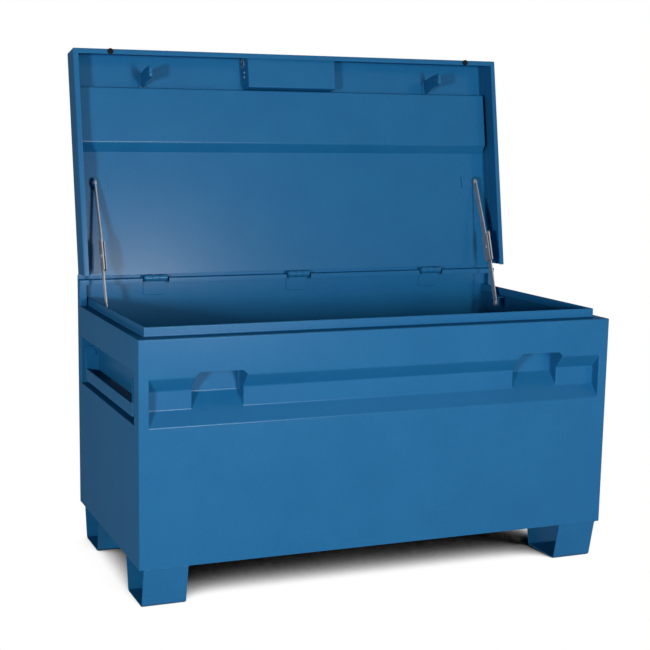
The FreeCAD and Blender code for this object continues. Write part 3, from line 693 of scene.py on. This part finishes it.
def knuckle(place, aside, length):
    """One rolled eye of the hinge at a place, bored for the pin."""
    eye = rod("knuckle", (place + aside, hinge_y, hinge_z), "x", knuckle_radius, length)
    bore = rod("drill", (place, hinge_y, hinge_z), "x", pin_radius + 0.1, length=90)
    round_edges(eye, 0.7, [bore])
    return eye


for place, name in zip(hinge_places, ("left", "middle", "right")):
    leaf = plate("hinge_fixed_leaf_" + name, (place - leaf_half, leaf_face, leaf_low),
                 (2 * leaf_half, 0, 0), (0, 0, leaf_high - leaf_low))
    pick("edges", lambda p: at(p.z, leaf_high))
    extend(y=hinge_y - leaf_face)
    score("x", [place - gap_half, place + gap_half], lambda p: at(p.z, leaf_high))
    cut_out(lambda p: at(p.z, leaf_high) and abs(p.x - place) < gap_half + loose)
    round_corners(leaf_corner, lambda p: at(p.z, leaf_low), steps=3)
    fold_corners(leaf_bend)
    make_sheet(leaf, hinge_plate, edge=1.2)
    knuckles = [knuckle(place, way * (leaf_half + gap_half) / 2, leaf_half - gap_half)
                for way in (-1, 1)]
    wall_run = weld_bead((place - wall_run_half, wall_run_y, wall_run_z),
                         (place + wall_run_half, wall_run_y, wall_run_z), radius=1.8)
    fixed = join([leaf] + knuckles + [wall_run], "hinge_fixed_leaf_" + name)
    lid_leaf = plate("hinge_lid_leaf_plate_" + name,
                     (place - leaf_half, lid_leaf_front, lid_leaf_height),
                     (2 * leaf_half, 0, 0), (0, hinge_y - lid_leaf_front, 0))
    score("x", [place - tab_half, place + tab_half])
    score("y", [lid_leaf_tab])
    cut_out(lambda p: p.y > lid_leaf_tab - loose and abs(p.x - place) > tab_half - loose)
    round_corners(leaf_corner, lambda p: at(p.y, lid_leaf_front)
                  and at(abs(p.x - place), leaf_half), steps=3)
    make_sheet(lid_leaf, hinge_plate, edge=0.4)
    middle_knuckle = knuckle(place, 0, 2 * tab_half)
    lid_run = weld_bead((place - lid_run_half, lid_run_y, lid_run_z),
                        (place + lid_run_half, lid_run_y, lid_run_z), radius=2.2)
    moving = join([lid_leaf, middle_knuckle, lid_run], "hinge_lid_leaf_plate_" + name)
    swing_open(moving)
    for piece, body, cad in ((fixed, "chest", "hinge_body_leaf_"),
                             (moving, "lid", "hinge_lid_leaf_")):
        piece.data.materials.append(powder_coat)
        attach(piece, body)
        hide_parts(cad + name)

pins = []
for place in hinge_places:
    pins.append(rod("pin", (place, hinge_y, hinge_z), "x", pin_radius, pin_length))
    pins += [stud((place + way * pin_head_x, hinge_y, hinge_z), "x", radius=6, height=2, way=way)
             for way in (-1, 1)]
pins = join(pins, "hinge_pin_set")
round_edges(pins, 0.1)
pins.data.materials.append(powder_coat)
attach(pins, "chest")
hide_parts("hinge_pins")

# ---- Lid stays -------------------------------------------------------------------------------
# A folding stay at each end: two flat bars of 3 mm zinc-plated steel riveted at the knee, where a
# wide plate keeps them in line. A painted bracket under the shelf and one in the lid carry them.
foot_pivot, knee = Vector((0, 181, 603)), Vector((0, 234.97, 756.99))
lid_pivot = Vector((0, 320.73, 938.39))
stay_bar, lower_wide, upper_wide = 3, 17, 19
lower_x, upper_x, knee_plate_x, cheek_x = 562.4, 559, 562.8, 555.7
bracket_plate, bracket_bend, bracket_half = 3, 3.5, 12
bracket_x, bracket_low, bracket_high, bracket_wide = 562.8, 591, 621, 44.8
lid_bracket_left, lid_bracket_right, lid_bracket_tip, lid_bracket_high = 520.4, 562.4, 671.1, 696.2
lid_bracket_front, lid_bracket_rear = 18.8, 52.8


def bar(name, start, end, width, face, corner_radius):
    """A flat bar from start to end whose outer face is at x = face, with rounded corners."""
    along = (end - start).normalized()
    across = Vector((0, -along.z, along.y))
    corner = start - across * width / 2
    corner.x = face
    piece = plate(name, corner, end - start, across * width)
    round_corners(corner_radius, lambda p: True, steps=8)
    return piece


def rivet(x, pivot, radius, height, way):
    """A rivet head on a stay's pivot."""
    return stud((x, pivot.y, pivot.z), "x", radius, height, way)


reach = (knee - foot_pivot).normalized()
lower = bar("stay_lower_bar_right", foot_pivot - reach * lower_wide / 2,
            knee + reach * lower_wide / 2, lower_wide, lower_x, lower_wide / 2 - 0.1)
make_sheet(lower, stay_bar, edge=0.5)
knee_plate = bar("knee_plate", knee - reach * 40, knee + reach * 44, width=34,
                 face=knee_plate_x, corner_radius=4)
make_sheet(knee_plate, 3.5, edge=0.8)
cheek = bar("knee_cheek", knee - reach * 40, knee + reach * 36, width=30,
            face=cheek_x, corner_radius=4)
make_sheet(cheek, sheet, edge=0.6)
knee_heads = [rivet(563.7, knee, radius=7, height=2.4, way=1),
              rivet(552.7, knee, radius=6, height=2.2, way=-1)]
lower = join([lower, knee_plate, cheek] + knee_heads, "stay_lower_bar_right")
fold = (lid_pivot - knee).normalized()
upper = bar("stay_upper_bar_right", knee - fold * upper_wide / 2,
            lid_pivot + fold * upper_wide / 2, upper_wide, upper_x, upper_wide / 2 - 0.1)
make_sheet(upper, stay_bar, edge=0.5)
foot_pin = join([rod("pin", (561, foot_pivot.y, foot_pivot.z), "x", radius=4, length=9),
                 rivet(557.9, foot_pivot, radius=7, height=2.4, way=-1)], "stay_foot_pin_right")
lid_pin = join([rod("pin", (559, lid_pivot.y, lid_pivot.z), "x", radius=4, length=8),
                rivet(554.5, lid_pivot, radius=7, height=2.4, way=-1),
                rivet(563.4, lid_pivot, radius=6, height=2, way=1)], "stay_lid_pin_right")

# Each bracket is a plate folded once, with its free end rounded about the pivot.
foot_bracket = plate("stay_foot_bracket_right",
                     (bracket_x, foot_pivot.y + bracket_half, bracket_low),
                     (0, -2 * bracket_half, 0), (0, 0, bracket_high - bracket_low))
round_corners(bracket_half - 0.1, lambda p: at(p.z, bracket_low), steps=8)
pick("edges", lambda p: at(p.z, bracket_high))
extend(x=bracket_wide)
fold_corners(bracket_bend)
lid_bracket = plate("stay_lid_bracket_right",
                    (lid_bracket_left, lid_bracket_front, lid_bracket_high),
                    (lid_bracket_right - lid_bracket_left, 0, 0),
                    (0, lid_bracket_rear - lid_bracket_front, 0))
ear_front, ear_rear = lid_bracket_front + 5, lid_bracket_rear - 5
score("y", [ear_front, ear_rear])
pick("edges", lambda p: at(p.x, lid_bracket_right) and within(p.y, ear_front, ear_rear))
extend(z=lid_bracket_tip - lid_bracket_high)
round_corners(bracket_half - 0.1, lambda p: at(p.z, lid_bracket_tip), steps=8)
fold_corners(bracket_bend)
swing_open(lid_bracket)

pairs = []
for piece in (lower, upper, foot_pin, lid_pin, foot_bracket, lid_bracket):
    pairs.append((piece, turn_over(piece, piece.name.replace("right", "left"))))
(lowers, uppers, foot_pins, lid_pins, foot_brackets, lid_brackets) = pairs
for pair in (lowers, uppers, foot_pins, lid_pins):
    for piece in pair:
        round_edges(piece, 0.1)
        piece.data.materials.append(zinc_plate)
for piece, side in zip(lowers, ("right", "left")):
    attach(piece, "stay_lower_" + side)
    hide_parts("stay_lower_" + side)
for piece, side in zip(uppers, ("right", "left")):
    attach(piece, "stay_upper_" + side)
    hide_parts("stay_upper_" + side)
for pair, body, cad in ((foot_brackets, "chest", "stay_foot_brackets"),
                        (lid_brackets, "lid", "stay_lid_brackets")):
    for piece in pair:
        make_sheet(piece, bracket_plate, edge=1.2)
    bracket_pair = join(list(pair), cad.replace("brackets", "bracket_pair"))
    bracket_pair.data.materials.append(powder_coat)
    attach(bracket_pair, body)
    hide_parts(cad)
for piece in foot_pins:
    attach(piece, "chest")
for piece in lid_pins:
    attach(piece, "lid")

# ---- End handles -----------------------------------------------------------------------------
# A bail in each end pan: one strip of 4 mm steel, bent at both ends into arms that turn on
# headed pins through lugs on the back of the pan, all coated in place.
bail_x, bail_z, bail_strip, bail_bend = 583.9, 509.5, 4, 5
grip_x, grip_low, grip_high = 604.9, 436, 466
arm_x, arm_top, arm_front, arm_rear = 569.9, 523.5, -230, 242
lug_inner, lug_outer, lug_low, lug_high, lug_plate = 569.6, 595.6, 496, 523, 4
lug_front_face, lug_rear_face = -234.6, 246.6
arm_end = lambda p: at(p.y, arm_front) or at(p.y, arm_rear)
bail = plate("bail_handle_right", (grip_x, arm_front, grip_low), (0, arm_rear - arm_front, 0),
             (0, 0, grip_high - grip_low))
pick("edges", arm_end)
extend(x=arm_x - grip_x)
pick("edges", lambda p: at(p.z, grip_high) and arm_end(p))
extend(z=arm_top - grip_high)
round_corners(13.9, lambda p: at(p.z, arm_top) and at(p.x, arm_x), steps=8)
round_corners(4, lambda p: at(p.z, arm_top) and at(p.x, grip_x), steps=4)
fold_corners(bail_bend)
lugs, handle_pins = [], []
for way, face in ((-1, lug_front_face), (1, lug_rear_face)):
    lug = plate("lug", (lug_outer if way > 0 else lug_inner, face, lug_low),
                (-way * (lug_outer - lug_inner), 0, 0), (0, 0, lug_high - lug_low))
    round_corners(9, lambda p: at(p.x, lug_outer), steps=5)
    lugs.append(lug)
    handle_pins += [rod("pin", (bail_x, face - way * 4.45, bail_z), "y", radius=5, length=8.9),
                    stud((bail_x, face - way * 10.4, bail_z), "y", radius=7, height=3, way=-way),
                    stud((bail_x, face + way * 0.9, bail_z), "y", radius=6, height=1.8, way=way)]
bail_left = turn_over(bail, "bail_handle_left")
for piece, side in ((bail, "right"), (bail_left, "left")):
    make_sheet(piece, bail_strip, edge=1)
    piece.data.materials.append(powder_coat)
    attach(piece, "handle_" + side)
    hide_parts("handle_arms_" + side, "handle_grip_" + side)
lugs += [turn_over(lug, "lug") for lug in list(lugs)]
for lug in lugs:
    make_sheet(lug, lug_plate, edge=0.6)
lugs = join(lugs, "handle_lug_set")
lugs.data.materials.append(powder_coat)
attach(lugs, "chest")
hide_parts("handle_lugs")
handle_pins += [turn_over(pin, "pin") for pin in list(handle_pins)]
handle_pins = join(handle_pins, "handle_pin_set")
round_edges(handle_pins, 0.1)
handle_pins.data.materials.append(powder_coat)
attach(handle_pins, "chest")
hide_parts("handle_pins")

# ---- Floor panel -----------------------------------------------------------------------------
# A flat 2 mm sheet inside the walls, welded all round. Nothing is drawn in its place: the plain
# sheet keeps its own shape and takes the coat.
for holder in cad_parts["floor_panel"].material_slots:
    holder.material = powder_coat

# ---- Stitch welds ----------------------------------------------------------------------------
# Short runs of weld that hold the feet to the underside, three along the top of each leg, coated
# over with the box.
stitch_places, stitch_half, stitch_height = (-590, -547, -500), 6, 94.6
stitches = []
for side in (-1, 1):
    for way in (-1, 1):
        for deep in (foot_front, foot_front + foot_deep):
            for place in stitch_places:
                ends = [(side * (place + half), way * deep, stitch_height)
                        for half in (-stitch_half, stitch_half)]
                stitches.append(weld_bead(*ends, radius=2.4))
stitches = join(stitches, "foot_stitch_welds")
stitches.data.materials.append(powder_coat)
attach(stitches, "chest")

# ---- Floor, light and camera -----------------------------------------------------------------
# A plain pale studio floor, soft lamps at the front, the left and high behind, and pale
# surroundings. The camera sees the floor white, with a painted shadow: greyer where the box keeps
# the light off it.
clear_bench()
bpy.ops.mesh.primitive_plane_add(size=40, location=(0, 0, -0.3 * mm))
studio_floor = bpy.context.object
studio_floor.name = "studio_floor"


def seen_straight(tree):
    """1 for what the camera sees itself, in a mirror or through glass, and 0 otherwise."""
    rays = node(tree, "ShaderNodeLightPath")
    seen = node(tree, "ShaderNodeMath", {"operation": "MAXIMUM"},
                {0: rays.outputs["Is Camera Ray"], 1: rays.outputs["Is Glossy Ray"]})
    return node(tree, "ShaderNodeMath", {"operation": "MAXIMUM"},
                {0: seen.outputs[0], 1: rays.outputs["Is Transmission Ray"]}).outputs[0]


pale = bpy.data.materials.new("studio_floor_white_paint")
pale.use_nodes = True
tree = pale.node_tree
shader = tree.nodes["Principled BSDF"]
shader.inputs["Base Color"].default_value = linear("#B4B4B4")
shader.inputs["Roughness"].default_value = 0.9
seen = seen_straight(tree)
# Painted shadow: the floor's white glow is dimmed where the spot is closed in, sampled leaning
# towards the front lamp.
towards_lamp = node(tree, "ShaderNodeCombineXYZ", {0: 0.12, 1: -0.6, 2: 0.8})
shade = node(tree, "ShaderNodeAmbientOcclusion", {"samples": 40, "Distance": 0.5},
             {"Normal": towards_lamp.outputs[0]})
painted_shadow_tone = node(tree, "ShaderNodeMapRange",
            {"interpolation_type": "SMOOTHSTEP", "From Min": 0.25, "From Max": 0.55},
            {"Value": shade.outputs["AO"]})
white = node(tree, "ShaderNodeEmission", {"Color": (1, 1, 1, 1)}, {"Strength": painted_shadow_tone.outputs[0]})
both = node(tree, "ShaderNodeMixShader", {},
            {0: seen, 1: shader.outputs[0], 2: white.outputs[0]})
tree.links.new(both.outputs[0], tree.nodes["Material Output"].inputs["Surface"])
studio_floor.data.materials.append(pale)

surroundings = bpy.data.worlds.new("pale_surroundings")
bpy.context.scene.world = surroundings
surroundings.use_nodes = True
tree = surroundings.node_tree
level = node(tree, "ShaderNodeMapRange", {"To Min": 0.08, "To Max": 1.0},
             {"Value": seen_straight(tree)})
tree.nodes["Background"].inputs["Color"].default_value = (1, 1, 1, 1)
tree.links.new(level.outputs[0], tree.nodes["Background"].inputs["Strength"])


def soft_lamp(name, bearing, distance, height, wide, tall, power):
    """A soft lamp that faces the box; bearings are from straight in front, sizes in metres."""
    lamp = bpy.data.lights.new(name, "AREA")
    lamp.shape, lamp.size, lamp.size_y, lamp.energy = "RECTANGLE", wide, tall, power
    holder = bpy.data.objects.new(name, lamp)
    bpy.context.scene.collection.objects.link(holder)
    bearing = math.radians(bearing)
    holder.location = (distance * math.sin(bearing), -distance * math.cos(bearing), height)
    aim = Vector((0, 0, 0.6)) - holder.location
    holder.rotation_euler = aim.to_track_quat("-Z", "Y").to_euler()


soft_lamp("front_softbox", bearing=9.5, distance=4.5, height=1.1, wide=0.5, tall=1.4, power=105)
soft_lamp("left_softbox", bearing=-44, distance=4.8, height=0.95, wide=0.45, tall=0.45, power=106)
soft_lamp("rear_softbox", bearing=165, distance=2.2, height=2.6, wide=1.6, tall=1.6, power=50)

# The camera stands left of the middle, at about the height of the open lid, with a long lens. The
# focal length and the point straight ahead are in pixels of the square render, the turns in radians.
render_size, focal_length, ahead_x, ahead_y = 650, 1349.94, 292.23, 351.21
camera_place, nod, turn, lean = (-1.3596, -3.1477, 1.0924), 0.171, -0.371, 0.014
view = bpy.data.cameras.new("catalogue_view")
camera = bpy.data.objects.new("catalogue_view", view)
bpy.context.scene.collection.objects.link(camera)
bpy.context.scene.camera = camera
tilt = (Matrix.Rotation(nod, 3, "X") @ Matrix.Rotation(turn, 3, "Y")
        @ Matrix.Rotation(lean, 3, "Z"))
right, down, ahead = tilt @ Matrix(((1, 0, 0), (0, 0, -1), (0, 1, 0)))
aim = Matrix((right, -down, -ahead)).transposed().to_4x4()
aim.translation = camera_place
camera.matrix_world = aim
view.sensor_width = 36
view.lens = focal_length / render_size * 36
view.shift_x = (render_size / 2 - ahead_x) / render_size
view.shift_y = (ahead_y - render_size / 2) / render_size
view.clip_end = 50
bpy.context.scene.view_settings.view_transform = "Standard"
